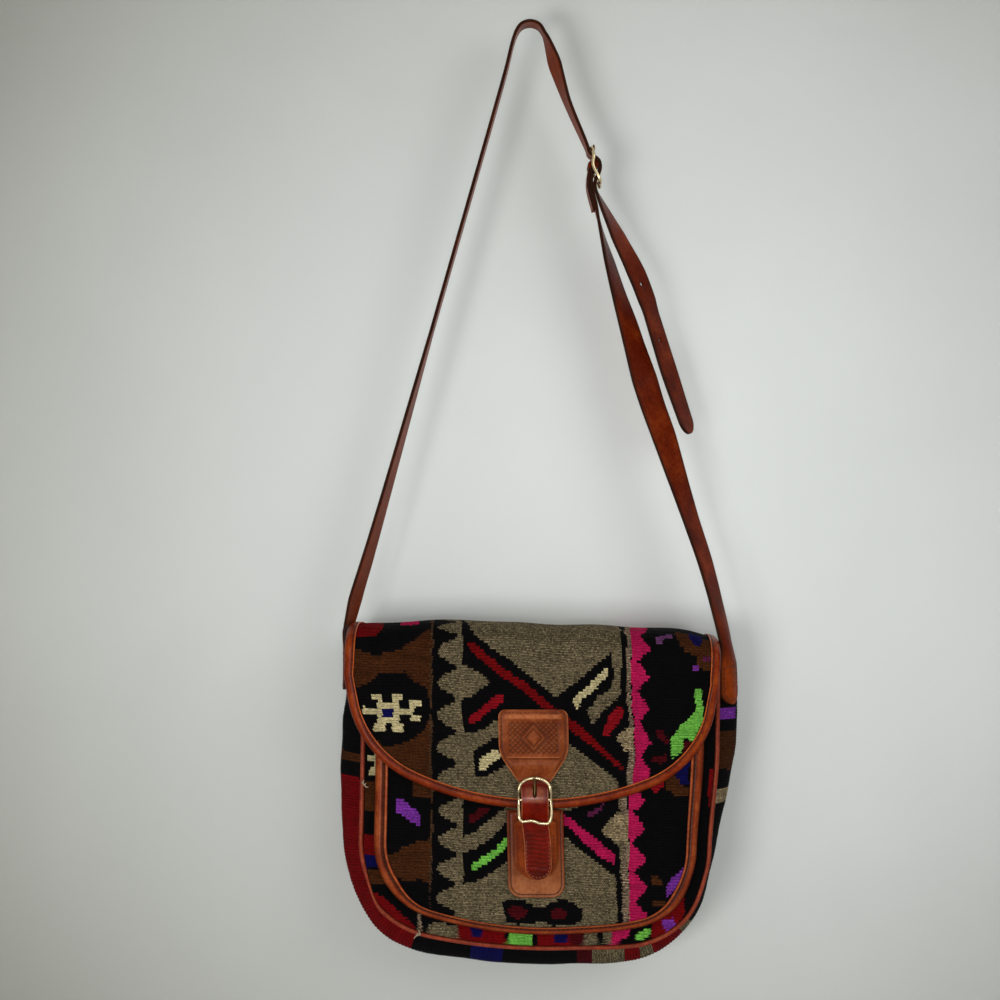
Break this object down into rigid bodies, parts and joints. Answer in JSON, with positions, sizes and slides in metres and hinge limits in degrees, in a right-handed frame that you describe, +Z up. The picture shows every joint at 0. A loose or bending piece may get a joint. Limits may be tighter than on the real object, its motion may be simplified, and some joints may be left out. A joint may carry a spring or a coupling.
{
  "type": "shoulder bag",
  "caption": "Flat-woven wool shoulder bag with a fold-over flap, outer pocket, leather bindings, buckled closure and adjustable leather strap.",
  "frame": {"origin": "underside of the strap's crown, where the bag hangs on a peg", "axes": "+Z up, front with the flap towards -Y, +X to the right of someone who faces the front"},
  "size_m": [0.2681, 0.0803, 0.6393],
  "materials": {
    "wool": "flat-woven wool",
    "dark_wool": "flat-woven wool",
    "binding_leather": "smooth, satin",
    "tab_leather": "tooled, satin",
    "strap_leather": "smooth, satin",
    "brass": "polished"
  },
  "bodies": {
    "bag": {"back_and_flap": "wool", "front_panel": "dark_wool", "gusset": "dark_wool", "pocket_panel": "wool", "flap_binding": "binding_leather", "pocket_binding": "binding_leather", "front_piping": "binding_leather", "back_piping": "binding_leather", "flap_tab": "tab_leather", "closure_patch": "tab_leather", "closure_chape": "binding_leather", "strap_long": "strap_leather", "strap_short": "strap_leather"},
    "closure_frame": {"closure_buckle_frame": "brass"},
    "closure_prong": {"closure_buckle_prong": "brass"},
    "strap_frame": {"strap_buckle_frame": "brass"},
    "strap_prong": {"strap_buckle_prong": "brass"}
  },
  "joints": [
    {"name": "closure_frame_rock", "type": "hinge", "parent": "bag", "child": "closure_frame", "pos_m": [0.0042, -0.04735, -0.52], "axis": [1, 0, 0], "range_deg": [0, 4]},
    {"name": "closure_prong_lift", "type": "hinge", "parent": "closure_frame", "child": "closure_prong", "pos_m": [0.0042, -0.04735, -0.52], "axis": [1, 0, 0], "range_deg": [0, 4]},
    {"name": "strap_frame_rock", "type": "hinge", "parent": "bag", "child": "strap_frame", "pos_m": [0.0425, 0, -0.0966], "axis": [0, 1, 0], "range_deg": [0, 4]},
    {"name": "strap_prong_lift", "type": "hinge", "parent": "strap_frame", "child": "strap_prong", "pos_m": [0.0425, 0, -0.0966], "axis": [0, 1, 0], "range_deg": [0, 4]}
  ]
}
